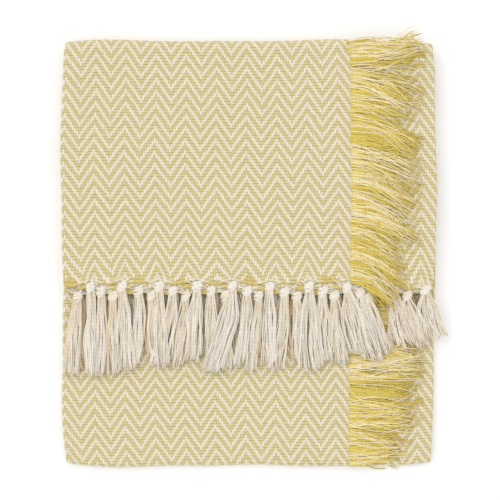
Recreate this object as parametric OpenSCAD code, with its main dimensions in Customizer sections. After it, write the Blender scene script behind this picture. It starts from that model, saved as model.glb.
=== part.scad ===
// A woven throw blanket with knotted warp tassels on its two short ends and loose weft fringe
// down its two long sides. It is folded in thirds across its width, in half along its length,
// and its two knotted ends are turned together over the top fold.
// The stack rests on z = 0 with its centre on the origin. X runs across, Y towards the top fold.

/* [Folded stack] */
// Width of the stack, left fold to right fold
stack_w = 475; // [440:5:520]
// Length of the stack, bottom fold to top fold
stack_l = 545; // [500:5:600]
// Top fold to the free end of the upper flap sheet
flap_l = 306; // [280:2:330]
// How far the under flap sheet stops short of the upper one
under_short = 14; // [8:1:20]
// How far the left third, folded over last, stops short of the right side
outer_short = 107; // [95:1:125]
// How far the right third, folded in first, stops short of the left side
inner_short = 18; // [17:1:40]

/* [Cloth] */
// Thickness of the woven cloth
ply_t = 1.7; // [1.4:0.1:2]
// Air between two plies that lie on each other
ply_gap = 0.3; // [0.3:0.05:0.4]

/* [Tassels] */
// Distance between the tassels of one ply
tassel_pitch = 47; // [46:0.5:47]
// Left side of the stack to the first tassel of the outer ply
tassel_inset = 32; // [30:0.5:34]
// Length of warp between the cloth and the knot
neck_l = 3; // [2:0.5:6]
// How much lower the knots lie on each ply further down
ply_slip = 6; // [3:0.5:7]
// Width of a knot
knot_w = 11; // [9:0.5:11.5]
// Length of a knot along its tassel
knot_l = 10; // [8:0.5:10]
// Length of the loose ends below a knot
skirt_l = 107; // [85:1:112]
// Width of a tassel at its lower end
skirt_w = 26; // [18:1:28]

/* [Side fringe] */
// Length of the loose weft ends outside the selvedge
fringe_l = 90; // [70:1:95]
// Distance between two clumps of weft ends
clump_pitch = 21; // [18:1:26]

/* [Hidden] */
CLOTH = [0.87, 0.84, 0.60];
MUSTARD = [0.84, 0.75, 0.33];
CREAM = [0.92, 0.90, 0.84];
$fn = 48;

pitch = ply_t + ply_gap;
plies = 3;
row_t = plies * pitch - ply_gap;
row_pitch = plies * pitch;
rows = 4;
stack_t = rows * row_pitch - ply_gap;

// The axes of the two folds across the stack
fold_z = stack_t / 2;
top_fold_y = stack_l / 2 - fold_z;
bottom_r = row_pitch - ply_gap / 2;
bottom_fold_y = bottom_r - stack_l / 2;

// Radii of the two side folds, outside face
left_r = pitch + ply_t / 2;
right_r = ply_t + ply_gap / 2;
left_x = left_r - stack_w / 2;
right_x = stack_w / 2 - right_r;
outer_end_x = stack_w / 2 - outer_short;
inner_end_x = inner_short - stack_w / 2;

// Free ends of the two flap sheets, and the air between the flap and the top fold
flap_end_y = stack_l / 2 - flap_l;
under_end_y = flap_end_y + under_short;
joint_gap = 0.3;

// Each ply has as many tassels as fit its width. The three plies stand a third of a pitch apart,
// and no tassel passes a side of the stack.
front_tassels = round((stack_w - outer_short) / tassel_pitch);
middle_tassels = round((stack_w - inner_short) / tassel_pitch);
rear_tassels = round(stack_w / tassel_pitch);
first_tassel_x = tassel_inset - stack_w / 2;
tassel_step = tassel_pitch / plies;
last_tassel_x = (stack_w - skirt_w) / 2;
neck_w = skirt_w;
skirt_top_w = knot_w - 2;
knot_corner = 3;
tuck_gap = 0.3;

function digits(i) = i < 10 ? str("0", i) : str(i);
function tassel_name(ply, i) = str(ply, "_tassel_", digits(i));

// Where tassel i stands. Step -1 is the base ply, 0 the outer ply and 1 the inner ply.
function tassel_x(i, step) =
    let (grid_x = first_tassel_x + step * tassel_step + (i - 1) * tassel_pitch,
         end_x = step == 0 ? outer_end_x - knot_w / 2 : last_tassel_x)
    max(-last_tassel_x, min(end_x, grid_x));

CLOTH_NODES = [
    "back_panel", "bottom_fold", "front_panel",
    "top_fold_inside", "top_fold_outside", "flap_under_panel", "flap_top_panel"
];
FRINGE_NODES = [
    "side_fringe_back", "side_fringe_front", "side_fringe_flap_under", "side_fringe_flap_top",
    "tucked_fringe_back", "tucked_fringe_front",
    "tucked_fringe_flap_under", "tucked_fringe_flap_top"
];
UNDER_TASSEL_NODES = ["under_tassels_outer_ply", "under_tassels_inner_ply", "under_tassels_base_ply"];

// One fold seen end on: half a ring that opens towards +X
module half_ring(outside_r, inside_r) {
    intersection() {
        difference() {
            circle(r = outside_r);
            circle(r = inside_r);
        }
        translate([0, -outside_r])
            square([outside_r, 2 * outside_r]);
    }
}

// The cloth folded in thirds, seen from its end. The base ply lies on y = 0, the inner ply over
// it and the outer ply on top.
module thirds() {
    translate([left_x, 0])
        square([right_x - left_x, ply_t]);
    translate([inner_end_x, pitch])
        square([right_x - inner_end_x, ply_t]);
    translate([left_x, 2 * pitch])
        square([outer_end_x - left_x, ply_t]);
    translate([left_x, row_t / 2])
        mirror([1, 0])
            half_ring(left_r, left_r - ply_t);
    translate([right_x, right_r])
        half_ring(right_r, right_r - ply_t);
}

// The same with the outer ply underneath and the base ply on top
module thirds_face_down() {
    translate([0, row_t])
        mirror([0, 1])
            thirds();
}

// A flat stretch of the folded cloth in one row of the stack, between two places along Y
module flat_row(row, from_y, to_y) {
    translate([0, to_y, row * row_pitch])
        rotate([90, 0, 0])
            linear_extrude(height = to_y - from_y)
                children();
}

// A half turn of the folded cloth about an axis along X. Its first child is seen end on, with its
// lower face this far from the axis. It bulges towards +Y.
module half_turn(inside_r) {
    rotate([0, 90, 0])
        rotate_extrude(angle = 180)
            mirror([1, -1])
                translate([0, inside_r])
                    children();
}

module back_panel() {
    color(CLOTH)
        flat_row(0, bottom_fold_y, top_fold_y)
            thirds_face_down();
}

module bottom_fold() {
    color(CLOTH)
        translate([0, bottom_fold_y, bottom_r])
            mirror([0, 1, 0])
                half_turn(ply_gap / 2)
                    thirds();
}

module front_panel() {
    color(CLOTH)
        flat_row(1, bottom_fold_y, top_fold_y)
            thirds();
}

module top_fold_inside() {
    color(CLOTH)
        translate([0, top_fold_y, fold_z])
            half_turn(ply_gap / 2)
                thirds_face_down();
}

module top_fold_outside() {
    color(CLOTH)
        translate([0, top_fold_y, fold_z])
            half_turn(row_pitch + ply_gap / 2)
                thirds();
}

module flap_under_panel() {
    color(CLOTH)
        flat_row(2, under_end_y, top_fold_y - joint_gap)
            thirds_face_down();
}

module flap_top_panel() {
    color(CLOTH)
        flat_row(3, flap_end_y, top_fold_y - joint_gap)
            thirds();
}

// Loose weft ends outside the outer ply's selvedge, in clumps that taper to their tips
module side_fringe(level, from_y, to_y) {
    clumps = floor((to_y - from_y) / clump_pitch);
    clump_w = (to_y - from_y) / clumps;
    root_share = 0.4;
    color(MUSTARD)
        translate([outer_end_x, 0, level * pitch])
            linear_extrude(height = ply_t)
                polygon(concat(
                    [[0, to_y], [0, from_y]],
                    [for (i = [0:clumps - 1], half = [0:1])
                        half == 0
                            ? [fringe_l * root_share, from_y + i * clump_w]
                            : [fringe_l, from_y + (i + 0.5) * clump_w]],
                    [[fringe_l * root_share, to_y]]
                ));
}

// The other selvedge's loose ends, bunched between the inner ply and the left fold
module tucked_fringe(level, from_y, to_y) {
    color(MUSTARD)
        translate([left_x, from_y, level * pitch])
            cube([inner_end_x - left_x - tuck_gap, to_y - from_y, ply_t]);
}

// One tassel: the warp drawn together out of the cloth, its knot, and the loose ends below. The
// outer ply has no slip, the inner ply one and the base ply two, but all their ends are level.
module tassel(x, end_y, row, level, slips) {
    knot_top = end_y - neck_l - slips * ply_slip;
    skirt_top = knot_top - knot_l;
    skirt_end = end_y - neck_l - knot_l - skirt_l;
    color(CREAM)
        translate([x, 0, 0]) {
            translate([0, 0, level * pitch])
                linear_extrude(height = ply_t)
                    polygon([
                        [-neck_w / 2, end_y], [neck_w / 2, end_y],
                        [skirt_top_w / 2, knot_top - 1], [-skirt_top_w / 2, knot_top - 1]
                    ]);
            translate([0, 0, row * row_pitch])
                linear_extrude(height = row_t)
                    polygon([
                        [-knot_w / 2, skirt_top + knot_corner], [-knot_w / 2, knot_top - knot_corner],
                        [-knot_w / 2 + knot_corner, knot_top], [knot_w / 2 - knot_corner, knot_top],
                        [knot_w / 2, knot_top - knot_corner], [knot_w / 2, skirt_top + knot_corner],
                        [knot_w / 2 - knot_corner, skirt_top], [-knot_w / 2 + knot_corner, skirt_top]
                    ]);
            translate([0, 0, level * pitch])
                linear_extrude(height = ply_t)
                    polygon([
                        [-skirt_top_w / 2, skirt_top + 1], [skirt_top_w / 2, skirt_top + 1],
                        [skirt_w / 2, skirt_end], [-skirt_w / 2, skirt_end]
                    ]);
        }
}

// Tassels of the upper flap sheet, one by one from the left
module front_tassel(i) {
    tassel(tassel_x(i, 0), flap_end_y, 3, 11, 0);
}

module middle_tassel(i) {
    tassel(tassel_x(i, 1), flap_end_y, 3, 10, 1);
}

module rear_tassel(i) {
    tassel(tassel_x(i, -1), flap_end_y, 3, 9, 2);
}

// Tassels of the under flap sheet, which the others cover
module under_tassels(count, step, level, slips) {
    for (i = [1:count])
        tassel(tassel_x(i, step), under_end_y, 2, level, slips);
}

back_panel();
bottom_fold();
front_panel();
top_fold_inside();
top_fold_outside();
flap_under_panel();
flap_top_panel();

side_fringe(0, bottom_fold_y, top_fold_y);  // side_fringe_back
side_fringe(5, bottom_fold_y, top_fold_y);  // side_fringe_front
side_fringe(6, under_end_y, top_fold_y - joint_gap);  // side_fringe_flap_under
side_fringe(11, flap_end_y, top_fold_y - joint_gap);  // side_fringe_flap_top
tucked_fringe(1, bottom_fold_y, top_fold_y);  // tucked_fringe_back
tucked_fringe(4, bottom_fold_y, top_fold_y);  // tucked_fringe_front
tucked_fringe(7, under_end_y, top_fold_y - joint_gap);  // tucked_fringe_flap_under
tucked_fringe(10, flap_end_y, top_fold_y - joint_gap);  // tucked_fringe_flap_top

under_tassels(front_tassels, 0, 6, 0);  // under_tassels_outer_ply
under_tassels(middle_tassels, 1, 7, 1);  // under_tassels_inner_ply
under_tassels(rear_tassels, -1, 8, 2);  // under_tassels_base_ply
for (i = [1:front_tassels])
    front_tassel(i);
for (i = [1:middle_tassels])
    middle_tassel(i);
for (i = [1:rear_tassels])
    rear_tassel(i);
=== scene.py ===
import math

import bpy
import numpy as np
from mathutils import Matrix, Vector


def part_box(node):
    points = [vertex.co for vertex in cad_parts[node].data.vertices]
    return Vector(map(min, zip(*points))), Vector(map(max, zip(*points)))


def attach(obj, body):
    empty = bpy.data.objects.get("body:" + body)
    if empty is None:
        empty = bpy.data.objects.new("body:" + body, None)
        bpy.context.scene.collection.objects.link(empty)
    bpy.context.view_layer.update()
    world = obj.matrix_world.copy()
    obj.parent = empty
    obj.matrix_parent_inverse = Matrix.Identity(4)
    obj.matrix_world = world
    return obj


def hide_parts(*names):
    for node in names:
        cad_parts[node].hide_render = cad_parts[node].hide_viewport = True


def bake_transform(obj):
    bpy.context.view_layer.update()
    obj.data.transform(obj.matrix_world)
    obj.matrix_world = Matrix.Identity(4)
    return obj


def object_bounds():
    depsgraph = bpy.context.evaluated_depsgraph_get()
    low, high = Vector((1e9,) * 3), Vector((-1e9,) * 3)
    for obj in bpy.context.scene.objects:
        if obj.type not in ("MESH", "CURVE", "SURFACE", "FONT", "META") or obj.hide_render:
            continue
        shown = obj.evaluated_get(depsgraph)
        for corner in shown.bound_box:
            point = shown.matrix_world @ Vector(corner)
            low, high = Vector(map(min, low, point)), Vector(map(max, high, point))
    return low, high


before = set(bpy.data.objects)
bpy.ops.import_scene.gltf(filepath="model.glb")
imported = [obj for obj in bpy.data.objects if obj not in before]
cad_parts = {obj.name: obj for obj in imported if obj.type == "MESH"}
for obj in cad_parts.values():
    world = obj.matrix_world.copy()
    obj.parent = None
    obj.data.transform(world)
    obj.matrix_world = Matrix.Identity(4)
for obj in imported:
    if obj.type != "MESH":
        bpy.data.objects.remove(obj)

CAD_LO, CAD_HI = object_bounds()
MM = 0.001
TAU = 2 * math.pi

# The cloth
PLY = 1.7 * MM                  # thickness of the woven sheet
GAP = 0.3 * MM                  # air between two plies
PITCH = PLY + GAP
ROW_T = 3 * PITCH - GAP         # a row is the sheet folded in thirds
WARP_PITCH = 1300 * MM / 474    # 474 warp threads cross the sheet
WEFT_PITCH = 3.85 * MM
POINT_REPEAT = 7                # warp threads from a valley of the herringbone to its peak
POINT_SHIFT = 1                 # the selvedge is this many warp threads from a valley
FLOAT = 2                       # threads that one float passes over
RELIEF = 0.16 * MM              # how far a float stands proud

# The stack, from the frame
HALF_W = CAD_HI[0]
HALF_L = CAD_HI[1]
STACK_T = CAD_HI[2]
OUTER_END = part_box("side_fringe_front")[0][0]
LEFT_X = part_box("tucked_fringe_front")[0][0]
INNER_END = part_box("tucked_fringe_front")[1][0] + GAP
RIGHT_X = HALF_W - PLY - GAP / 2
PANEL_LO, PANEL_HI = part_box("front_panel")
BOTTOM_FOLD_Y, TOP_FOLD_Y = PANEL_LO[1], PANEL_HI[1]
BOTTOM_FOLD_Z = ROW_T + GAP / 2
TOP_FOLD_Z = STACK_T / 2
FLAP_END_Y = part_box("flap_top_panel")[0][1]
UNDER_END_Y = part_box("flap_under_panel")[0][1]

# Places along the path across the sheet, from the outer selvedge to the tucked one
S_LEFT = OUTER_END - LEFT_X                     # the left fold begins
S_FOLD = S_LEFT + math.pi * PITCH / 2           # half way round the left fold
S_BASE = S_LEFT + math.pi * PITCH               # the base ply begins
S_RIGHT = S_BASE + RIGHT_X - LEFT_X             # the right fold begins
S_INNER = S_RIGHT + math.pi * PITCH / 2         # the inner ply begins
S_END = S_INNER + RIGHT_X - INNER_END           # the tucked selvedge

# Tassels and fringe. The plies of a free end are counted outer, inner and base: 0, 1 and 2
NECK_L = 3 * MM                 # from the free end to the top of an outer ply's knot
KNOT_L = 10 * MM
WRAP_R = 1.35 * MM              # radius of the loops round a knot
NECK_R = 0.42 * MM              # radius of a warp end above its knot
PLY_SLIP = 6 * MM               # each ply's knots lie this much lower than the last one's
PLY_SHORT = (0, 8 * MM, 14 * MM)                # how far short of the outer ply each ply ends
PLY_SIDES = ((LEFT_X, OUTER_END), (INNER_END, RIGHT_X), (LEFT_X, RIGHT_X))  # left and right
TASSEL_PITCH = 47 * MM          # from knot to knot of one ply
SKIRT_L = 100 * MM              # the loose ends below a knot, about
SAG = 2.4 * MM                  # half of how far bare weft hangs down between two knots
FRINGE_L = 88 * MM              # a long yarn of the side fringe
COVERED_TO_Y = -100 * MM        # below this the tassels leave the front row's fringe open

# How each edge of the stack wavers: for each wave its height in mm, its length in metres, the
# phase it gains from the floor to the top of the stack, and its phase on the floor
EDGE_WAVES = {
    "left": ((1.6, 0.36, 2.4, 0.5), (0.6, 0.13, 5.0, 0.0)),
    "right": ((1.4, 0.41, -2.0, 2.1), (0.7, 0.155, 4.0, 1.0)),
    "bottom": ((1.3, 0.34, 1.5, 1.2), (0.6, 0.12, 3.0, 0.0)),
    "top": ((1.2, 0.39, -1.8, 0.2), (0.5, 0.14, 2.0, 2.0)),
}
CORNER_IN = 3.5 * MM            # how far a corner is drawn in
CORNER_POWER = 9                # how soon that fades away from the corner


# ---------------------------------------------------------------- shape

def row_z(row):
    """Underside of a row of the stack, counted from the floor."""
    return row * 3 * PITCH


def smooth(t):
    """0 below 0, 1 above 1, and an even rise between."""
    t = np.clip(t, 0, 1)
    return t * t * (3 - 2 * t)


def thirds(s):
    """The folded sheet seen end on: x and height of its mid surface, a distance s along it."""
    left = (s - S_LEFT) / PITCH
    right = (s - S_RIGHT) / (PITCH / 2)
    where = [s < S_LEFT, s < S_BASE, s < S_RIGHT, s < S_INNER]
    x = np.select(where, [
        OUTER_END - s,
        LEFT_X - PITCH * np.sin(left),
        LEFT_X + s - S_BASE,
        RIGHT_X + PITCH / 2 * np.sin(right),
    ], RIGHT_X - s + S_INNER)
    height = np.select(where, [
        0 * s + 2 * PITCH,
        PITCH + PITCH * np.cos(left),
        0 * s,
        PITCH / 2 - PITCH / 2 * np.cos(right),
    ], PITCH)
    return x, height + PLY / 2


def edge_waver(edge, place, layer):
    """How far an edge of the stack lies from straight, at a place along it."""
    return sum(height * MM * np.sin(TAU * place / length + gained * layer + phase)
               for height, length, gained, phase in EDGE_WAVES[edge])


def settle(points):
    """The unevenness of a stack folded by hand. Everything goes through the same soft field, so
    what lies together stays together. It stays level at the top fold, where the flap turns."""
    x, y, z = points[..., 0], points[..., 1], points[..., 2]
    layer = z / STACK_T
    right = smooth(0.5 + x / (2 * HALF_W))
    top = smooth(0.5 + y / (2 * HALF_L))
    sideways = edge_waver("left", y, layer) * (1 - right) + edge_waver("right", y, layer) * right
    lengthways = edge_waver("bottom", x, layer) * (1 - top) + edge_waver("top", x, layer) * top
    corner = CORNER_IN * np.abs(x / HALF_W) ** CORNER_POWER * np.abs(y / HALF_L) ** CORNER_POWER
    rise = 0.9 * MM * np.sin(TAU * x / 0.21 + 0.8) * np.sin(TAU * y / 0.26 + 0.3)
    rise += 0.5 * MM * np.sin(TAU * (x + 0.6 * y) / 0.17)
    rise *= smooth((TOP_FOLD_Y - LEAD - y) / 0.06)
    moved = np.empty_like(points)
    moved[..., 0] = x + sideways - np.sign(x) * corner
    moved[..., 1] = y + lengthways - np.sign(y) * corner
    moved[..., 2] = z + layer * rise
    return moved


# ---------------------------------------------------------------- meshes

def mesh_object(name, vertices, quads, caps=(), attributes=()):
    """A smooth object from numpy arrays. Each attribute is (name, type, values on the points)."""
    mesh = bpy.data.meshes.new(name)
    mesh.from_pydata(vertices.reshape(-1, 3).tolist(), [], quads.tolist() + [list(c) for c in caps])
    mesh.polygons.foreach_set("use_smooth", np.ones(len(mesh.polygons), bool))
    for label, kind, values in attributes:
        field = "vector" if kind == "FLOAT_VECTOR" else "value"
        layer = mesh.attributes.new(label, kind, "POINT")
        layer.data.foreach_set(field, np.ascontiguousarray(values, np.float32).ravel())
    mesh.update()
    thing = bpy.data.objects.new(name, mesh)
    bpy.context.scene.collection.objects.link(thing)
    return thing


def grid_quads(rows, columns, start=0):
    """Faces of a grid of rows by columns points that are numbered from start."""
    index = start + np.arange(rows * columns).reshape(rows, columns)
    corners = [index[:-1, :-1], index[1:, :-1], index[1:, 1:], index[:-1, 1:]]
    return np.stack(corners, axis=-1).reshape(-1, 4)


def strip_quads(lower, upper):
    """Faces that join two lists of point numbers."""
    return np.stack([lower[:-1], lower[1:], upper[1:], upper[:-1]], axis=-1)


def warp_up(s, v):
    """1 where a warp thread lies over the weft and -1 where it lies under: the herringbone."""
    warp = np.floor(s / WARP_PITCH) + POINT_SHIFT
    weft = np.floor(v / WEFT_PITCH)
    step = POINT_REPEAT - np.abs(np.mod(warp, 2 * POINT_REPEAT) - POINT_REPEAT)
    return np.where(np.mod(weft - step, 2 * FLOAT) < FLOAT, 1.0, -1.0)


def sheet_mesh(name, place, bare, relief, s, v):
    """A closed sheet, PLY thick, over the mid surface that place(s, v) gives. bare(s, v) is 1
    where the warp has been drawn aside and only weft shows, and relief is how far a float stands
    proud."""
    grid_s, grid_v = np.meshgrid(s, v, indexing="ij")
    middle = settle(place(grid_s, grid_v))
    normal = np.cross(np.gradient(middle, axis=0), np.gradient(middle, axis=1))
    normal /= np.linalg.norm(normal, axis=-1, keepdims=True)
    a_thread_apart = np.gradient(s) < 1.2 * WARP_PITCH
    off_the_folds = (s < S_LEFT - WARP_PITCH) | (s > S_INNER + WARP_PITCH)
    woven = a_thread_apart & off_the_folds
    lift = relief * warp_up(grid_s, grid_v) * woven[:, None]
    face = middle + normal * (PLY / 2 + lift)[..., None]
    back = middle - normal * (PLY / 2 - lift)[..., None]
    rows, columns = grid_s.shape
    count = rows * columns
    number = np.arange(count).reshape(rows, columns)
    around = np.concatenate([
        number[0, :],
        number[1:, -1],
        number[-1, -2::-1],
        number[-2:0:-1, 0],
        number[:1, 0],
    ])
    quads = np.concatenate([
        grid_quads(rows, columns),
        grid_quads(rows, columns, count)[:, ::-1],
        strip_quads(around, around + count),
    ])
    flat = np.stack([grid_s, grid_v, np.ones_like(grid_s)], axis=-1)
    under = np.stack([grid_s, grid_v, -np.ones_like(grid_s)], axis=-1)
    open_weft = bare(grid_s, grid_v)
    sheet = mesh_object(name, np.stack([face, back]), quads, attributes=[
        ("flat", "FLOAT_VECTOR", np.stack([flat, under])),
        ("bare", "FLOAT", np.stack([open_weft, open_weft])),
    ])
    sheet.data.set_sharp_from_angle(angle=1.0)
    return sheet


def tubes(paths, radii, sides=6, up=(0, 0, 1)):
    """Yarns as closed tubes. paths is (yarns, points, 3) and radii fits (yarns, points)."""
    yarns, points, _ = paths.shape
    tangent = np.gradient(paths, axis=1)
    tangent /= np.linalg.norm(tangent, axis=-1, keepdims=True) + 1e-12
    across = np.cross(tangent, np.array(up, float))
    across /= np.linalg.norm(across, axis=-1, keepdims=True) + 1e-12
    over = np.cross(across, tangent)
    angle = np.arange(sides) * TAU / sides
    ring = (across[:, :, None, :] * np.cos(angle)[None, None, :, None]
            + over[:, :, None, :] * np.sin(angle)[None, None, :, None])
    radii = np.broadcast_to(radii, (yarns, points))
    vertices = paths[:, :, None, :] + ring * radii[:, :, None, None]
    number = np.arange(yarns * points * sides).reshape(yarns, points, sides)
    turned = np.roll(number, -1, axis=2)
    quads = np.stack([number[:, :-1], number[:, 1:], turned[:, 1:], turned[:, :-1]], axis=-1)
    caps = np.concatenate([number[:, 0], number[:, -1, ::-1]])
    step = np.linalg.norm(np.diff(paths, axis=1), axis=-1)
    along = np.concatenate([np.zeros((yarns, 1)), np.cumsum(step, axis=1)], axis=1)
    twist = np.stack(np.broadcast_arrays(
        along[:, :, None], np.cos(angle)[None, None], np.sin(angle)[None, None]), axis=-1)
    return vertices.reshape(-1, 3), quads.reshape(-1, 4), caps, twist.reshape(-1, 3)


def yarn_object(name, bundles):
    """One piece from several sets of tubes. A bundle is (paths, radii, shade, sides, up). The
    shade runs from 0, dark with painted shade, to 1, light, and is 2 for a yarn of the other colour."""
    vertices, quads, caps, twists, shades = [], [], [], [], []
    count = 0
    for paths, radii, shade, sides, up in bundles:
        v, q, c, t = tubes(paths, radii, sides, up)
        vertices.append(v)
        quads.append(q + count)
        caps.extend((c + count).tolist())
        twists.append(t)
        per_yarn = paths.shape[1] * sides
        shades.append(np.repeat(np.broadcast_to(shade, (paths.shape[0],)), per_yarn))
        count += len(v)
    return mesh_object(name, np.concatenate(vertices), np.concatenate(quads), caps, [
        ("twist", "FLOAT_VECTOR", np.concatenate(twists)),
        ("shade", "FLOAT", np.concatenate(shades)),
    ])


# ---------------------------------------------------------------- materials

class Graph:
    """A material's node tree, with short calls for its nodes."""

    def __init__(self, name):
        self.material = bpy.data.materials.new(name)
        self.material.use_nodes = True
        self.nodes = self.material.node_tree.nodes
        self.links = self.material.node_tree.links
        self.shader = self.nodes["Principled BSDF"]

    def put(self, value, socket):
        """Join another node's output to the socket, or set it to a plain value."""
        if isinstance(value, bpy.types.NodeSocket):
            self.links.new(value, socket)
        else:
            socket.default_value = value

    def math(self, operation, *values):
        node = self.nodes.new("ShaderNodeMath")
        node.operation = operation
        for value, socket in zip(values, node.inputs):
            self.put(value, socket)
        return node.outputs[0]

    def mix(self, share, one, other):
        node = self.nodes.new("ShaderNodeMix")
        node.data_type = "RGBA"
        self.put(share, node.inputs["Factor"])
        for value, label in ((one, "A"), (other, "B")):
            socket = next(i for i in node.inputs if i.name == label and i.type == "RGBA")
            self.put(value, socket)
        return next(o for o in node.outputs if o.type == "RGBA")

    def attribute(self, name):
        node = self.nodes.new("ShaderNodeAttribute")
        node.attribute_name = name
        return node

    def noise(self, vector, scale, detail=2.0):
        node = self.nodes.new("ShaderNodeTexNoise")
        self.put(vector, node.inputs["Vector"])
        node.inputs["Scale"].default_value = scale
        node.inputs["Detail"].default_value = detail
        return node.outputs["Fac"]

    def vector(self, x, y, z=0.0):
        node = self.nodes.new("ShaderNodeCombineXYZ")
        for value, socket in zip((x, y, z), node.inputs):
            self.put(value, socket)
        return node.outputs[0]

    def bump(self, height, distance, strength=1.0):
        node = self.nodes.new("ShaderNodeBump")
        node.inputs["Distance"].default_value = distance
        node.inputs["Strength"].default_value = strength
        self.put(height, node.inputs["Height"])
        self.put(node.outputs[0], self.shader.inputs["Normal"])

    def finish(self, colour, roughness, sheen):
        """Matt cotton of that colour."""
        self.put(colour, self.shader.inputs["Base Color"])
        self.put(roughness, self.shader.inputs["Roughness"])
        self.shader.inputs["Sheen Weight"].default_value = sheen
        self.shader.inputs["Sheen Roughness"].default_value = 0.5
        self.shader.inputs["Specular IOR Level"].default_value = 0.25
        return self.material


# The cloth's threads: two tones of warp, two of weft, bare weft in a deeper gold that is partly
# painted shade, and olive painted shade for the gaps between threads
CREAM = (0.86, 0.775, 0.615, 1)
PINK_CREAM = (0.83, 0.705, 0.60, 1)
LIME = (0.69, 0.645, 0.27, 1)
STRAW = (0.78, 0.69, 0.395, 1)
GOLD = (0.76, 0.58, 0.18, 1)
THREAD_GAP_SHADE = (0.33, 0.26, 0.085, 1)

# The tassels' and the fringe's yarn, each with a darker colour that is painted shade for yarns low
# in the pile
WARP_YARN = (0.92, 0.885, 0.81, 1)
WARP_YARN_SHADED = (0.65, 0.42, 0.11, 1)
WEFT_YARN = (0.91, 0.75, 0.205, 1)
WEFT_YARN_SHADED = (0.58, 0.42, 0.045, 1)
WEFT_YARN_PALE = (0.99, 0.88, 0.63, 1)
PALE_SHARE = 0.62               # of the yarns that lie on top of the fringe


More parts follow.
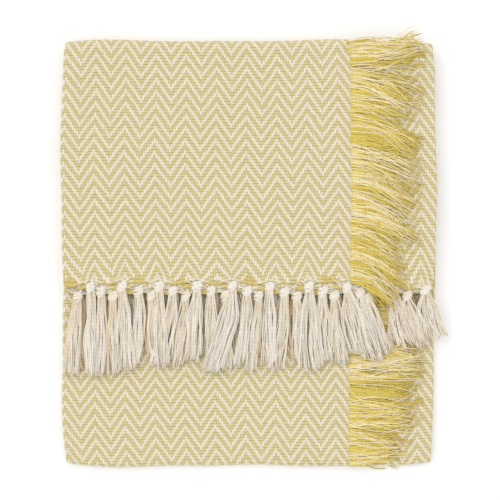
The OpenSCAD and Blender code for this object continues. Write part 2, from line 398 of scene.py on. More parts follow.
def cloth_material():
    """Herringbone: cream warp floats over yellow weft floats, drawn from where each point lies on
    the flat sheet."""
    g = Graph("herringbone_cloth")
    place = g.attribute("flat")
    bare = g.attribute("bare").outputs["Fac"]
    part = g.nodes.new("ShaderNodeSeparateXYZ")
    g.links.new(place.outputs["Vector"], part.inputs[0])
    wander = g.math("SUBTRACT", g.noise(place.outputs["Vector"], 60.0), 0.5)
    sway = g.math("SUBTRACT", g.noise(place.outputs["Vector"], 190.0), 0.5)
    across = g.math("MULTIPLY_ADD", wander, 0.9, g.math("DIVIDE", part.outputs[0], WARP_PITCH))
    along = g.math("MULTIPLY_ADD", sway, 0.8, g.math("DIVIDE", part.outputs[1], WEFT_PITCH))
    warp = g.math("FLOOR", across)
    weft = g.math("FLOOR", along)
    in_warp = g.math("SUBTRACT", g.math("SUBTRACT", across, warp), 0.5)
    in_weft = g.math("SUBTRACT", g.math("SUBTRACT", along, weft), 0.5)
    point = g.math("ADD", warp, float(POINT_SHIFT))
    step = g.math("ROUND", g.math("PINGPONG", point, float(POINT_REPEAT)))
    phase = g.math("FLOORED_MODULO", g.math("SUBTRACT", weft, step), 2.0 * FLOAT)
    face_up = g.math("LESS_THAN", phase, FLOAT - 0.5)
    is_back = g.math("LESS_THAN", part.outputs[2], 0.0)
    woven = g.math("ABSOLUTE", g.math("SUBTRACT", face_up, is_back))

    # A warp float is a long bead. Weft shows past its round ends, and the last of the warp is ragged
    half_length, half_width = 1.02, 0.60            # in threads
    half_turn = g.math("MULTIPLY", is_back, 2.0)
    warp_phase = g.math("FLOORED_MODULO", g.math("ADD", phase, half_turn), 2.0 * FLOAT)
    warp_place = g.math("ADD", g.math("SUBTRACT", warp_phase, 0.5), in_weft)
    end_on = g.math("POWER", g.math("ABSOLUTE", g.math("DIVIDE", warp_place, half_length)), 2.2)
    side_on = g.math("POWER", g.math("ABSOLUTE", g.math("DIVIDE", in_warp, half_width)), 3.0)
    bead = g.math("SUBTRACT", 1.0, g.math("ADD", end_on, side_on))
    covered = g.math("GREATER_THAN", bead, 0.0)
    kept = g.math("LESS_THAN", g.math("MULTIPLY_ADD", wander, 2.6, bare), 0.6)
    up = g.math("MULTIPLY", g.math("MULTIPLY", woven, covered), kept)

    # A weft pick is two soft threads side by side, and there is a gap between one pick and the next
    rising = g.math("LESS_THAN", g.math("FLOORED_MODULO", point, 2.0 * POINT_REPEAT),
                    POINT_REPEAT - 0.5)
    sign = g.math("MULTIPLY_ADD", rising, -2.0, 1.0)
    weft_place = g.math("MULTIPLY_ADD", sign, g.math("SUBTRACT", warp_phase, 2.5), in_warp)
    weft_crown = g.math("ABSOLUTE", g.math("COSINE", g.math("MULTIPLY", weft_place, math.pi / 2)))
    pick_round = g.math("SQRT", g.math("COSINE", g.math("MULTIPLY", in_weft, math.pi)))
    split = g.math("SQRT", g.math("ABSOLUTE", g.math("SINE", g.math("MULTIPLY", in_weft, TAU))))
    pick_height = g.math("MULTIPLY", pick_round, g.math("MULTIPLY_ADD", split, 0.45, 0.55))
    beat = g.math("MULTIPLY_ADD", g.math("COSINE", g.math("MULTIPLY", in_warp, TAU)), 0.16, 0.84)
    pick_height = g.math("MULTIPLY", pick_height, beat)
    weft_height = g.math("MULTIPLY", pick_height, g.math("MULTIPLY_ADD", weft_crown, 0.3, 0.7))
    paired = g.math("SQRT", g.math("ABSOLUTE", g.math("SINE", g.math("MULTIPLY", in_warp, TAU))))
    warp_height = g.math("MULTIPLY", g.math("SQRT", g.math("MAXIMUM", bead, 0.0)),
                         g.math("MULTIPLY_ADD", paired, 0.3, 0.7))
    up_height = g.math("MULTIPLY", up, warp_height)
    down_height = g.math("MULTIPLY", g.math("SUBTRACT", 1.0, up), weft_height)
    height = g.math("ADD", up_height, down_height)

    # Colour: no two threads are quite alike, and the low gaps between them are darkened with olive
    # painted shade, less so under a warp float
    by_warp = g.vector(g.math("MULTIPLY", warp, 0.37), g.math("MULTIPLY", along, 0.11))
    by_weft = g.vector(g.math("MULTIPLY", across, 0.13), g.math("MULTIPLY", weft, 0.61))
    cream = g.mix(g.noise(by_warp, 3.0), CREAM, PINK_CREAM)
    yellow = g.mix(g.noise(by_weft, 3.0), LIME, STRAW)
    # Bare weft takes a deeper, more saturated gold: the weft's own colour with painted shade
    yellow = g.mix(g.math("MULTIPLY", bare, 0.85), yellow, GOLD)
    thread = g.mix(up, yellow, cream)
    gap = g.math("POWER", g.math("SUBTRACT", 1.0, height), 1.4)
    depth = g.math("MULTIPLY_ADD", up, -0.42, 1.0)
    colour = g.mix(g.math("MULTIPLY", gap, depth), thread, THREAD_GAP_SHADE)
    fibre = g.noise(place.outputs["Vector"], 2600.0, 3.0)
    spun_weft = g.math("SINE", g.math("MULTIPLY", g.math("ADD", across, along), 3 * TAU))
    spun_warp = g.math("SINE", g.math("MULTIPLY", g.math("SUBTRACT", along, across), 3 * TAU))
    spun = g.math("ADD", g.math("MULTIPLY", up, spun_warp),
                  g.math("MULTIPLY", g.math("SUBTRACT", 1.0, up), spun_weft))
    rough = g.math("MULTIPLY_ADD", spun, 0.10, g.math("MULTIPLY", fibre, 0.35))
    g.bump(g.math("ADD", rough, height), 0.45 * MM, 0.8)
    return g.finish(colour, 0.86, 0.2)


def yarn_material(name, dark, light, other, pitch, fuzz):
    """Yarn with a twist every pitch. The shade attribute runs from dark, 0, which is painted shade,
    to light, 1, and is 2 for the other colour."""
    g = Graph(name)
    shade = g.attribute("shade").outputs["Fac"]
    twist = g.attribute("twist")
    split = g.nodes.new("ShaderNodeSeparateXYZ")
    g.links.new(twist.outputs["Vector"], split.inputs[0])
    along, round_x, round_y = split.outputs
    turn = g.math("MULTIPLY", along, TAU / pitch)
    one = g.math("MULTIPLY", g.math("SINE", turn), round_x)
    two = g.math("MULTIPLY", g.math("COSINE", turn), round_y)
    ridge = g.math("ADD", one, two)
    fibre = g.noise(g.vector(g.math("MULTIPLY", along, 140.0),
                             g.math("MULTIPLY", round_x, 1.4),
                             g.math("MULTIPLY_ADD", shade, 90.0, round_y)), 3.0)
    colour = g.mix(g.math("MINIMUM", shade, 1.0), dark, light)
    colour = g.mix(g.math("GREATER_THAN", shade, 1.5), colour, other)
    # Painted shade between the fibres and in the twist's grooves darkens the colour along streaks
    streak = g.math("MULTIPLY_ADD", ridge, -0.06, g.math("MULTIPLY", fibre, 0.30))
    fibre_gap_shade = tuple(0.6 * part for part in dark[:3]) + (1,)
    colour = g.mix(g.math("MAXIMUM", streak, 0.0), colour, fibre_gap_shade)
    g.bump(g.math("MULTIPLY_ADD", fibre, fuzz, g.math("MULTIPLY", ridge, 0.4)), 0.12 * MM, 0.5)
    return g.finish(colour, 0.82, 0.3)


# ---------------------------------------------------------------- the sheet

def near(value, centres, pitch):
    """Signed distance to the nearest of some places, kept within half a pitch."""
    centres = np.asarray(centres)
    gap = value[..., None] - centres
    pick = np.argmin(np.abs(gap), axis=-1)[..., None]
    return np.clip(np.take_along_axis(gap, pick, axis=-1)[..., 0], -pitch / 2, pitch / 2)


def tassel_names(ply):
    return [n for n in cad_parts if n.startswith(ply + "_tassel_")]


def tassel_x(node):
    lo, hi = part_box(node)
    return (lo[0] + hi[0]) / 2


# How far each knot, from the left, was tied to one side of its place, in millimetres
TIED = {
    "front": (3, -4, -3, -2, -4, -3, 0, 2),
    "middle": (0, 1, -2, 0, -1, 0, 2, 3, -2, 0),
    "rear": (2, 0, 2, -1, 3, -2, 0, 1, -2, 0),
}
KNOT_X = {ply: [tassel_x(n) + tied * MM for n, tied in zip(sorted(tassel_names(ply)), TIED[ply])]
          for ply in TIED}


def to_knot(s, x):
    """The way round from the nearest knot of the same ply, as an angle that is 0 at the knot."""
    gap = np.select(
        [s < S_FOLD, s < S_RIGHT],
        [near(x, KNOT_X["front"], TASSEL_PITCH), near(x, KNOT_X["rear"], TASSEL_PITCH)],
        near(x, KNOT_X["middle"], TASSEL_PITCH))
    return TAU * gap / TASSEL_PITCH


def end_shift(s, x):
    """How the free end differs from a straight line: lower on the inner plies, and hanging down
    between the knots. Returns the shift along y and the pull of the warp towards its knot."""
    _, inner, base = PLY_SHORT
    slip = np.interp(s, [0, S_LEFT, S_BASE + 50 * MM, S_RIGHT, S_INNER + 30 * MM, S_END],
                     [0, 2 * MM, base, base, inner, inner - MM])
    turn = to_knot(s, x)
    sag = SAG * (1 + 0.35 * np.sin(TAU * x / 0.061)) * (1 - np.cos(turn))
    return -sag - slip, -3.4 * MM * np.sin(turn)


def woven_through(s, v):
    """No bare weft away from the free ends."""
    return np.zeros_like(s)


def bare_end(end_v):
    """Near a free end the warp runs off to the knots, which leaves bare weft between them."""
    def bare(s, v):
        x, _ = thirds(s)
        between = 0.5 - 0.5 * np.cos(to_knot(s, x))
        uneven = 3.2 * np.sin(TAU * x / 0.083 + 1.0) + 1.8 * np.sin(TAU * x / 0.037 + 2.0)
        depth = ((6.2 + uneven) * between ** 1.5 - 1) * MM
        soft_edge = 4 * MM
        return smooth((depth - np.abs(v - end_v)) / soft_edge + 0.5)

    return bare


def free_row(row, face_up, end_y, v_start, towards_end):
    """One row of the flap. v runs from v_start, towards the free end or away from it."""
    length = TOP_FOLD_Y - end_y
    reach = 16 * MM             # how far up the cloth the pull of the knots is felt

    def place(s, v):
        x, height = thirds(s)
        walked = v - v_start
        to_end = length - walked if towards_end else walked
        y = end_y + to_end
        shift, pull = end_shift(s, x)
        fade = np.exp(-to_end / reach)
        level = height if face_up else ROW_T - height
        return np.stack([x + pull * fade, y + shift * fade, row_z(row) + level], axis=-1)

    return place


def held_row(row, face_up, start_y, v_start, direction):
    """A row between two folds."""
    def place(s, v):
        x, height = thirds(s)
        level = height if face_up else ROW_T - height
        return np.stack([x, start_y + direction * (v - v_start), row_z(row) + level], axis=-1)

    return place


def turn_place(axis_y, axis_z, bulge, inside_r, outer_outside, mean_r, v_start, rising):
    """A half turn of the folded sheet about an axis along X, with a straight lead at both ends.
    bulge is 1 for a turn that reaches out along +Y and -1 along -Y. v climbs it where rising."""
    def place(s, v):
        x, height = thirds(s)
        radius = inside_r + (height if outer_outside else ROW_T - height)
        turned = np.clip((v - v_start) / mean_r, 0, math.pi)
        lead = np.abs(v - v_start - turned * mean_r)
        angle = turned if rising else math.pi - turned
        return np.stack([
            x,
            axis_y + bulge * (radius * np.sin(angle) - lead),
            axis_z - radius * np.cos(angle),
        ], axis=-1)

    return place


def s_outer():
    """Samples across the outer ply, one to a warp thread, and half way round the left fold."""
    threads = np.arange(0.5, S_LEFT / WARP_PITCH - 0.5) * WARP_PITCH
    return np.concatenate([[0], threads, np.linspace(S_LEFT, S_FOLD, 5)])


def s_rest():
    """Samples across the base and inner plies, close together only where the cloth shows."""
    hidden = 3 * WARP_PITCH
    fold_left = np.linspace(S_FOLD, S_BASE, 5)
    base = np.arange(S_BASE + hidden, S_RIGHT - hidden / 2, hidden)
    fold_right = np.linspace(S_RIGHT, S_INNER, 8)
    shown_to = S_INNER + RIGHT_X - OUTER_END + 4 * WARP_PITCH
    first = math.ceil(S_INNER / WARP_PITCH) + 0.5
    shown = np.arange(first, shown_to / WARP_PITCH) * WARP_PITCH
    inner = np.arange(shown_to + hidden, S_END - hidden / 2, hidden)
    return np.concatenate([fold_left, base, fold_right, shown, inner, [S_END]])


def v_picks(start, end):
    """Samples along the warp, one to a weft thread."""
    first = math.ceil(start / WEFT_PITCH + 0.25) + 0.5
    last = math.floor(end / WEFT_PITCH - 0.25)
    return np.concatenate([[start], np.arange(first, last) * WEFT_PITCH, [end]])


# The sheet's length, walked from the upper flap's free end to the under flap's
OUTSIDE_R = 11 * MM
BOTTOM_R = 5 * MM
INSIDE_R = 2 * MM
LEAD = 8 * MM                   # how far the turns at the top reach into the rows
V_TOP = TOP_FOLD_Y - FLAP_END_Y
V_BACK = V_TOP + math.pi * OUTSIDE_R
V_BOTTOM = V_BACK + TOP_FOLD_Y - BOTTOM_FOLD_Y
V_FRONT = V_BOTTOM + math.pi * BOTTOM_R
V_INSIDE = V_FRONT + TOP_FOLD_Y - BOTTOM_FOLD_Y
V_UNDER = V_INSIDE + math.pi * INSIDE_R
V_END = V_UNDER + TOP_FOLD_Y - UNDER_END_Y


def sheet_pieces(cloth):
    """The whole sheet, cut only where rows meet the folds and half way round the left fold.
    Returns each piece by name, with its width and length when laid flat."""
    turn_steps = 13
    lead_steps = 3
    ways = {"front": ("front_panel", "bottom_fold")}
    bare = {"flap_top": bare_end(0), "flap_under": bare_end(V_END)}
    stretches = [
        ("flap_top", "flap_top_panel", "flap", 0, V_TOP - LEAD,
         free_row(3, True, FLAP_END_Y, 0, False)),
        ("top_turn_outside", "top_fold_outside", None, V_TOP, V_BACK,
         turn_place(TOP_FOLD_Y, TOP_FOLD_Z, 1, 3 * PITCH + GAP / 2, True, OUTSIDE_R, V_TOP, False)),
        ("back", "back_panel", "lower_stack", V_BACK + LEAD, V_BOTTOM,
         held_row(0, False, TOP_FOLD_Y, V_BACK, -1)),
        ("front", "front_panel", "lower_stack", V_BOTTOM, V_INSIDE - LEAD,
         turn_place(BOTTOM_FOLD_Y, BOTTOM_FOLD_Z, -1, GAP / 2, True, BOTTOM_R, V_BOTTOM, True)),
        ("top_turn_inside", "top_fold_inside", None, V_INSIDE, V_UNDER,
         turn_place(TOP_FOLD_Y, TOP_FOLD_Z, 1, GAP / 2, False, INSIDE_R, V_INSIDE, True)),
        ("flap_under", "flap_under_panel", "flap", V_UNDER + LEAD, V_END,
         free_row(2, False, UNDER_END_Y, V_UNDER, True)),
    ]
    made = {}
    for label, node, body, start, end, place in stretches:
        if body is None:
            before = np.linspace(start - LEAD, start, lead_steps)[:-1]
            after = np.linspace(end, end + LEAD, lead_steps)[1:]
            v = np.concatenate([before, np.linspace(start, end, turn_steps), after])
        elif label == "front":
            turn = np.linspace(start, V_FRONT, turn_steps)[:-1]
            v = np.concatenate([turn, v_picks(V_FRONT, end)])
        else:
            v = v_picks(start, end)
        for part, s in (("outer_ply", s_outer()), ("inner_plies", s_rest())):
            # Floats stand flat on the tight inside turn
            relief = 0 if label == "top_turn_inside" else RELIEF
            open_weft = bare.get(label, woven_through)
            piece = sheet_mesh(f"{label}_{part}", place, open_weft, relief, s, v)
            piece.data.materials.append(cloth)
            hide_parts(*ways.get(label, (node,)))
            if body:
                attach(piece, body)
            else:
                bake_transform(piece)
            width = s[-1] - s[0]
            made[piece.name] = (piece, width, v[-1] - v[0])
    return made


# ---------------------------------------------------------------- tassels

def overhand_wraps(centre, width, depth, height, wraps, radius, rng):
    """The yarns seen round a knot: slanting loops about the tassel's own axis."""
    turn = np.linspace(0, TAU, 15)
    k = np.arange(wraps)[:, None]
    rise = (k / (wraps - 1) - 0.5) * (height - 2 * radius)
    slant = 2.2 * MM + rng.normal(0, 0.9 * MM, (wraps, 1))
    bulge = 1 - 0.34 * (2 * k / (wraps - 1) - 1) ** 2 + rng.normal(0, 0.03, (wraps, 1))
    x = centre[0] + (width / 2 - radius) * bulge * np.cos(turn)
    z = centre[2] + (depth / 2 - radius) * bulge * np.sin(turn)
    y = centre[1] + rise + slant * np.cos(turn + 0.5)
    return np.stack([x, y + 0 * z, z], axis=-1)


def skirt_paths(knot, tip_y, lean, width, strands, rest, rng, points=16):
    """The loose ends below a knot. They hang in locks, which spread, bend and lie in a thin pile.
    Returns the paths and how high in the pile each one lies."""
    t = np.linspace(0, 1, points)[None, :]
    locks = max(3, strands // 4)
    own = np.sort(rng.integers(0, locks, strands))
    lock_spot = np.linspace(-1, 1, locks) + rng.normal(0, 0.14, locks)
    spot = (lock_spot[own] + rng.normal(0, 0.12, strands))[:, None]
    narrow = 3.4 * MM
    half = narrow + (width / 2 - narrow) * (0.5 * smooth(t / 0.4) + 0.5 * t)
    hang = rng.uniform(0, TAU, (locks, 1))[own]
    swing = rng.uniform(1.0, 2.4, (locks, 1))[own]
    side = spot * half + 1.7 * MM * np.sin(math.pi * swing * t + hang) * smooth(t * 2.5)
    side = side + 0.45 * MM * np.sin(
        TAU * rng.uniform(1.0, 2.6, (strands, 1)) * t + rng.uniform(0, TAU, (strands, 1)))
    start_y = knot[1] - KNOT_L / 2 + 2.5 * MM
    end_y = tip_y + rng.normal(0, 2.6 * MM, locks)[own] + rng.normal(0, 0.9 * MM, strands)
    y = start_y + (end_y[:, None] - start_y + 1.5 * MM * spot ** 2) * t
    down = start_y - y
    bow = rng.normal(0, 1.2 * MM)
    leaning = math.tan(lean) * down * (0.45 + 0.55 * t) + bow * np.sin(math.pi * t)
    pile = np.clip(rng.uniform(0, 1, locks)[own] * 0.6 + rng.uniform(0, 0.4, strands), 0, 1)
    pile = pile[:, None]
    start_z = knot[2] + rng.uniform(-2.2, 2.2, (strands, 1)) * MM
    rest_z = rest[0] + (rest[1] - rest[0]) * pile
    z = start_z + (rest_z - start_z) * smooth(t * 1.5)
    z = z + 0.4 * MM * np.sin(TAU * t * 1.1 + hang)
    return np.stack(np.broadcast_arrays(knot[0] + side + leaning, y, z), axis=-1), pile[:, 0]


def neck_paths(knot, edge_y, level_z, reach, yarns, rng, points=10):
    """Warp ends that lie on the last of the cloth and run together into the knot. reach holds the
    sides of the ply."""
    place = ((np.arange(yarns) + 0.5) / yarns * 2 - 1)[:, None]
    place = place + rng.normal(0, 0.03, (yarns, 1))
    t = np.linspace(0, 1, points)[None, :]
    sag = SAG * (1 - np.cos(math.pi * place))
    x_from = np.clip(knot[0] + place * 0.47 * TASSEL_PITCH, reach[0] + 2 * MM, reach[1] - 2 * MM)
    x_to = knot[0] + place * 3.4 * MM
    y_from = edge_y - sag + (5.5 + rng.uniform(-2, 2, (yarns, 1))) * MM
    y_to = knot[1] + KNOT_L / 2 - 2.5 * MM
    x = x_from + (x_to - x_from) * (0.9 * t + 0.1 * smooth(t))
    droop_mid = 1.2 * MM * np.sin(math.pi * t) * place ** 2
    y = y_from + (y_to - y_from) * (0.8 * t + 0.2 * t ** 2) - droop_mid
    over = level_z + PLY / 2 - 0.1 * MM
    z = over - 0.7 * MM * (1 - smooth(t * 2)) + (knot[2] - over) * smooth(t * 1.6 - 0.6)
    z = z + rng.uniform(-0.1, 0.25, (yarns, 1)) * MM
    return np.stack(np.broadcast_arrays(x, y, z), axis=-1)


def tassel_bundles(x, end_y, tip_y, slips, row, level, lean, width, strands, rest, ply_shade, rng):
    """Neck, knot and skirt of one tassel. slips counts its ply, row and level say where that ply
    lies in the stack, rest holds the heights between which the skirt lies, and the ply's painted
    shade, from dark, 0, to light, 1, comes last."""
    knot_y = end_y - NECK_L - slips * PLY_SLIP - KNOT_L / 2
    knot = (x, knot_y, row_z(row) + ROW_T / 2 + (level - 3 * row - 1) * 0.8 * MM)
    level_z = level * PITCH + PLY / 2
    yarns = 18
    wraps = 7
    neck = neck_paths(knot, end_y - PLY_SHORT[slips], level_z, PLY_SIDES[slips], yarns, rng)
    broad = rng.uniform(13.5, 16) * MM
    loops = overhand_wraps(knot, broad, ROW_T + 2.4 * MM, KNOT_L + 2.5 * MM, wraps, WRAP_R, rng)
    core = np.linspace(knot[1] + 4.6 * MM, knot[1] - 4.6 * MM, 9)
    core = np.stack(np.broadcast_arrays(knot[0], core, knot[2]), axis=-1)[None]
    girth = (np.sin(np.linspace(0.25, math.pi - 0.25, 9)) * 2.8 * MM)[None]
    skirt, pile = skirt_paths(knot, tip_y, lean, width, strands, rest, rng)
    taper = np.linspace(0.66, 0.52, skirt.shape[1])[None] * MM * (40 / strands) ** 0.35
    # Painted shade: strands low in the pile are darker than those on top
    shade = np.clip(ply_shade - 0.24 + 0.36 * pile + rng.normal(0, 0.08, strands), 0, 1)
    # Thicker yarns fill the skirt from below, darkened as painted shade. The under flap's lie among
    # the rest, only a little darker
    low, sunk_by = (rest[0] - 0.7 * MM, rest[0] + 0.3 * MM), 0.29
    if row == 2:
        low, sunk_by = rest, 0.1
    filling, _ = skirt_paths(knot, tip_y + 3 * MM, lean, 0.8 * width, strands // 2, low, rng)
    thick = np.linspace(1.0, 0.85, filling.shape[1])[None] * MM
    sunk = np.clip(ply_shade - sunk_by + rng.normal(0, 0.06, strands // 2), 0, 1)
    return [
        (settle(neck), NECK_R, np.clip(ply_shade + rng.normal(0, 0.08, yarns), 0, 1), 6, (0, 0, 1)),
        (settle(core), girth, np.array([ply_shade - 0.1]), 8, (0, 0, 1)),
        (settle(loops), WRAP_R, np.clip(ply_shade + rng.normal(0, 0.06, wraps), 0, 1), 7, (0, 1, 0)),
        (settle(filling), thick, sunk, 5, (0, 0, 1)),
        (settle(skirt), taper, shade, 5, (0, 0, 1)),
    ]


def trimmed_y(x):
    """The line along which the tassels were cut: higher towards the right."""
    places = [-0.225, -0.12, 0.08, 0.13, 0.225]
    line = [-0.153, -0.144, -0.143, -0.137, -0.113]
    return float(np.interp(x, places, line))


# How the tassels of each ply happen to lie, from the left: lean in degrees, width at the tips in mm
LIE = {
    "front": [(2, 13), (4, 23), (3, 17), (-3, 19), (-14, 25), (2, 16), (3, 25), (16, 32)],
    "middle": [(1, 15), (-3, 14), (-9, 20), (5, 18), (-4, 13), (-5, 14), (4, 17), (13, 26),
               (19, 32), (14, 30)],
    "rear": [(-3, 18), (2, 13), (7, 12), (-6, 14), (3, 12), (-5, 13), (4, 12), (8, 18),
             (17, 30), (14, 28)],
}
# For each ply of the upper flap sheet: slips, level in the stack, painted shade that is darker for
# deeper plies, heights at rest in mm
PLIES = {
    "front": (0, 11, 1.0, (19.2, 22.2)),
    "middle": (1, 10, 0.95, (17.4, 20.2)),
    "rear": (2, 9, 0.88, (15.8, 18.2)),
}


def upper_tassels(cream):
    """The tassels of the upper flap sheet, each in place of its own node."""
    strands = 38
    for ply, lies in LIE.items():
        slips, level, ply_shade, rest = PLIES[ply]
        names = sorted(tassel_names(ply))
        for i, (node, x, (lean, width)) in enumerate(zip(names, KNOT_X[ply], lies)):
            rng = np.random.default_rng(100 * level + i)
            lean = math.radians(lean)
            tip_y = trimmed_y(x + SKIRT_L * math.tan(lean)) + rng.normal(0, 5) * MM
            bundles = tassel_bundles(
                x, FLAP_END_Y, tip_y, slips, 3, level, lean, width * MM,
                strands, (rest[0] * MM, rest[1] * MM), ply_shade, rng)
            piece = yarn_object(f"{node}_yarn", bundles)
            piece.data.materials.append(cream)
            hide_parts(node)
            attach(piece, "flap")


def under_tassels(cream):
    """The tassels of the under flap sheet, one piece for each ply, spaced like the upper ones."""
    strands = 24
    pile_up = 1.4 * MM
    # Ply, slips, level in the stack, upper ply with the same spacing, height at rest in mm, painted
    # shade that is darker for plies whose knots slip further
    kinds = [
        ("outer", 0, 6, "front", 12.6, 0.95),
        ("inner", 1, 7, "middle", 13.4, 0.8),
        ("base", 2, 8, "rear", 14.4, 0.5),
    ]
    for ply, slips, level, like, rest, ply_shade in kinds:
        node = f"under_tassels_{ply}_ply"
        rng = np.random.default_rng(700 + level)
        bundles = []
        for x in KNOT_X[like]:
            lean = math.radians(rng.normal(0, 5) + 8 * max(x, 0) / HALF_W)
            width = rng.uniform(13, 21) * MM
            tip_y = trimmed_y(x) + rng.uniform(7, 13) * MM
            bundles += tassel_bundles(
                x, UNDER_END_Y, tip_y, slips, 2, level, lean, width,
                strands, (rest * MM, rest * MM + pile_up), ply_shade, rng)
        piece = yarn_object(f"{node}_yarn", bundles)
        piece.data.materials.append(cream)
        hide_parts(node)
        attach(piece, "flap")


# ---------------------------------------------------------------- fringe

def droop(share):
    """Direction of the flap's fringe, from the top fold, 0, to the free end, 1."""
    at_top = 17 * smooth(share / 0.12)
    at_end = 9 * smooth((share - 0.75) / 0.25)
    return np.radians(4 - at_top - 12 * share - at_end)


def level_droop(share):
    """Direction of a fringe that lies straight out, but for a slow waver."""
    return np.radians(-3 - 3 * share + 5 * np.sin(9 * share))


def fringe_paths(y_from, y_to, z_low, z_high, per_pick, aim, rng, points=15):
    """Loose weft ends: they leave the selvedge level with their picks, lie in locks and end in
    ragged points. Returns the paths and how high in the pile each one lies."""
    picks = int(abs(y_to - y_from) / WEFT_PITCH)
    yarns = picks * per_pick
    y = np.repeat(np.linspace(y_from, y_to, picks), per_pick) + rng.normal(0, 0.9 * MM, yarns)
    gaps = rng.uniform(7, 25, 80) * MM
    centre = y_from - np.cumsum(gaps)
    centre = centre[centre > y_to] + gaps[:1] / 2
    own = np.argmin(np.abs(y[:, None] - centre[None]), axis=1)
    share = (y - y_from) / (y_to - y_from)
    locks = len(centre)
    angle = aim(share) + rng.normal(0, 0.09, locks)[own] + rng.normal(0, 0.11, yarns)
    pile = rng.uniform(0, 0.25, locks)[own] + rng.uniform(0, 0.75, yarns)
    lock_length = 0.78 + 0.2 * pile + rng.normal(0, 0.13, locks)[own]
    length = FRINGE_L * (lock_length + rng.normal(0, 0.13, yarns))
    length = np.clip(length, 46 * MM, 99 * MM) * (1 - 0.2 * smooth((share - 0.85) / 0.1))
    t = np.linspace(0, 1, points)
    turn = angle[:, None] * 1.35 * smooth(0.15 + t * 1.1)[None]
    waves = rng.uniform(0.5, 1.3, (yarns, 1))
    turn = turn + rng.normal(0, 0.18, (yarns, 1)) * np.sin(
        TAU * t * waves + rng.uniform(0, TAU, (yarns, 1)))
    step = length[:, None] / (points - 1)
    x = OUTER_END - 1.5 * MM + np.cumsum(step * np.cos(turn), axis=1) - step
    dy = np.cumsum(step * np.sin(turn), axis=1)
    gather = (centre[own] - y)[:, None] * (0.14 * smooth(t / 0.5) + 0.62 * t ** 2)[None]
    gather = gather * (0.6 + 0.4 * smooth(pile * 1.6))[:, None]
    pile = pile[:, None]
    z_root = z_low + (0.2 + 0.5 * pile) * (z_high - z_low)
    z = z_root + (z_low + (z_high - z_low) * pile - z_root) * smooth(t / 0.3)
    return np.stack([x, y[:, None] + dy + gather, z], axis=-1), pile[:, 0]


def fringe_shades(pile, pale, rng):
    """Mostly mustard, darker low in the pile as painted shade, with some cream yarns that lie near
    the top.
    """
    shade = np.clip(0.15 + 0.7 * pile + rng.normal(0, 0.14, len(pile)), 0, 1)
    return np.where(rng.uniform(0, 1, len(pile)) < pale * smooth(pile * 3 - 1.5), 2.0, shade)


def wisp(rng):
    """The topmost lock of the flap's fringe, which stands up past the top fold."""
    yarns = 20
    longest = 98 * MM
    height = 23.2 * MM
    t = np.linspace(0, 1, 15)[None, :]
    x = OUTER_END - 6 * MM + longest * t * rng.uniform(0.88, 1.0, (yarns, 1))
    root = TOP_FOLD_Y + rng.uniform(-6, 8, (yarns, 1)) * MM
    arch = 7 * MM * np.sin(math.pi * np.minimum(t * 1.4, 1)) * rng.uniform(0.6, 1.1, (yarns, 1))
    lift = rng.uniform(10, 24, (yarns, 1)) * MM * smooth((t - 0.62) / 0.38)
    sag = 4 * MM * np.sin(math.pi * np.clip(t * 1.6 - 0.5, 0, 1))
    z = height + rng.uniform(0, 1.6, (yarns, 1)) * MM + 0 * t
    y = root + arch + lift - sag + rng.uniform(-1, 1, (yarns, 1)) * MM * t
    return np.stack(np.broadcast_arrays(x, y, z), axis=-1), rng.uniform(0.4, 1, yarns)


def side_fringes(mustard):
    """The selvedge's loose ends, row by row. Covered rows lie flat, and shown ones pile up."""
    top = TOP_FOLD_Y
    # Row, body, first and last place along y, heights of the pile in mm, yarns to a pick, direction
    rows = [
        ("back", "lower_stack", top - 8 * MM, BOTTOM_FOLD_Y, 0.7, 1.5, 4, level_droop),
        ("front", "lower_stack", top - 6 * MM, BOTTOM_FOLD_Y - 3 * MM, 10.4, 11.4, 10, level_droop),
        ("flap_under", "flap", top - 6 * MM, UNDER_END_Y, 12.4, 13.3, 4, level_droop),
        ("flap_top", "flap", top + 5 * MM, FLAP_END_Y, 22.3, 24.8, 11, droop),
    ]
    for seed, (label, body, y_from, y_to, low, high, per_pick, aim) in enumerate(rows):
        rng = np.random.default_rng(40 + seed)
        node = f"side_fringe_{label}"
        paths, pile = fringe_paths(y_from, y_to, low * MM, high * MM, per_pick, aim, rng)
        if label == "front":
            in_open = smooth((COVERED_TO_Y - paths[..., 1]) / (20 * MM))
            paths[..., 2] += in_open * pile[:, None] * 1.2 * MM
        if label == "flap_top":
            # Its last locks ride up over the knots
            over_knots = smooth((FLAP_END_Y + 8 * MM - paths[..., 1]) / (14 * MM))
            paths[..., 2] += over_knots * 3 * MM
            top_lock, top_pile = wisp(rng)
            paths = np.concatenate([paths, top_lock])
            pile = np.concatenate([pile, top_pile])
        # Yarns thin towards their ends, and those deep in the pile are thicker, which closes it
        taper = np.linspace(0.64, 0.36, paths.shape[1])[None] * MM
        taper = taper * (1.75 - 1.05 * pile[:, None])
        shades = fringe_shades(pile, PALE_SHARE, rng)
        piece = yarn_object(f"{node}_yarn", [(settle(paths), taper, shades, 5, (0, 0, 1))])
        piece.data.materials.append(mustard)
        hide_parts(node)
        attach(piece, body)


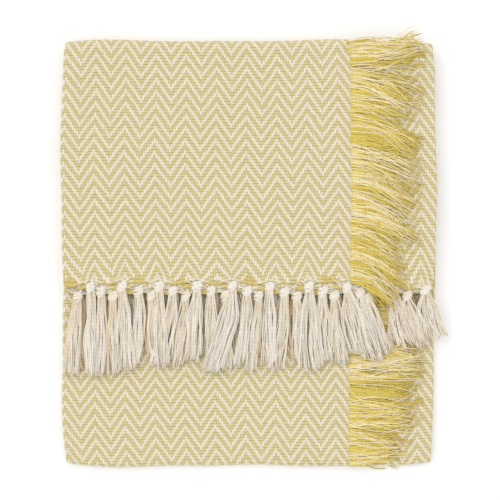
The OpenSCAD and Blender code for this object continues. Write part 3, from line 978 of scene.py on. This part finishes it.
def tucked_fringes(mustard):
    """The other selvedge's ends, bunched along the inside of the left fold."""
    levels = {"back": 1, "front": 4, "flap_under": 7, "flap_top": 10}   # plies from the floor
    room = INNER_END - LEFT_X - GAP
    for label, level in levels.items():
        node = f"tucked_fringe_{label}"
        lo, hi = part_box(node)
        rng = np.random.default_rng(60 + level)
        yarns = int((hi[1] - lo[1]) / (WEFT_PITCH / 2))
        t = np.linspace(0, 1, 12)[None, :]
        y = np.linspace(lo[1] + 2 * MM, hi[1] - 16 * MM, yarns)[:, None]
        reach = rng.uniform(0.5, 0.9, (yarns, 1)) * room
        out = reach * np.sin(math.pi / 2 * np.minimum(t * 2, 1))
        x = INNER_END - out + 0.5 * reach * smooth(t * 2 - 1)
        y = y + rng.uniform(6, 13, (yarns, 1)) * MM * t ** 1.5
        z = level * PITCH + PLY / 2 + rng.uniform(-0.4, 0.4, (yarns, 1)) * MM + 0 * t
        paths = settle(np.stack(np.broadcast_arrays(x, y, z), axis=-1))
        shades = rng.uniform(0, 1, yarns)
        piece = yarn_object(f"{node}_yarn", [(paths, 0.42 * MM, shades, 5, (0, 0, 1))])
        piece.data.materials.append(mustard)
        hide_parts(node)
        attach(piece, "flap" if "flap" in label else "lower_stack")


# ---------------------------------------------------------------- setting

def camera():
    """Straight above, with a little white round the stack."""
    view_width = 634.5 * MM     # what the frame takes in at the top of the stack
    aim_x, aim_y = 1.7 * MM, 4.4 * MM
    lens = 85
    sensor = 36
    data = bpy.data.cameras.new("camera")
    data.lens = lens
    data.sensor_width = sensor
    data.clip_end = 50
    made = bpy.data.objects.new("camera", data)
    made.location = (aim_x, aim_y, STACK_T + view_width * lens / sensor)
    bpy.context.scene.collection.objects.link(made)
    bpy.context.scene.camera = made


def floor():
    """A plain pale floor."""
    half = 3.0
    corners = np.array([[-half, -half, 0], [half, -half, 0], [half, half, 0], [-half, half, 0]])
    plane = mesh_object("floor", corners, np.array([[0, 1, 2, 3]]))
    g = Graph("pale_floor")
    g.shader.inputs["Base Color"].default_value = (0.97, 0.97, 0.97, 1)
    g.shader.inputs["Roughness"].default_value = 0.9
    plane.data.materials.append(g.material)


def lights():
    """Soft light from all round, and a broad pale sun from the upper left."""
    world = bpy.data.worlds.new("studio")
    world.use_nodes = True
    background = world.node_tree.nodes["Background"]
    background.inputs["Color"].default_value = (1, 1, 1, 1)
    background.inputs["Strength"].default_value = 0.98
    bpy.context.scene.world = world
    data = bpy.data.lights.new("key", "SUN")
    data.energy = 0.6
    data.angle = math.radians(50)
    made = bpy.data.objects.new("key", data)
    made.rotation_euler = (math.radians(-28), math.radians(-32), 0)
    bpy.context.scene.collection.objects.link(made)
    bpy.context.scene.view_settings.view_transform = "Standard"


camera()
floor()
lights()
SHEETS = sheet_pieces(cloth_material())
TASSEL_YARN = yarn_material("cream_warp_yarn", WARP_YARN_SHADED, WARP_YARN, WARP_YARN, 5 * MM, 0.6)
FRINGE_YARN = yarn_material("mustard_weft_yarn", WEFT_YARN_SHADED, WEFT_YARN, WEFT_YARN_PALE,
                            4 * MM, 0.5)
upper_tassels(TASSEL_YARN)
under_tassels(TASSEL_YARN)
side_fringes(FRINGE_YARN)
tucked_fringes(FRINGE_YARN)
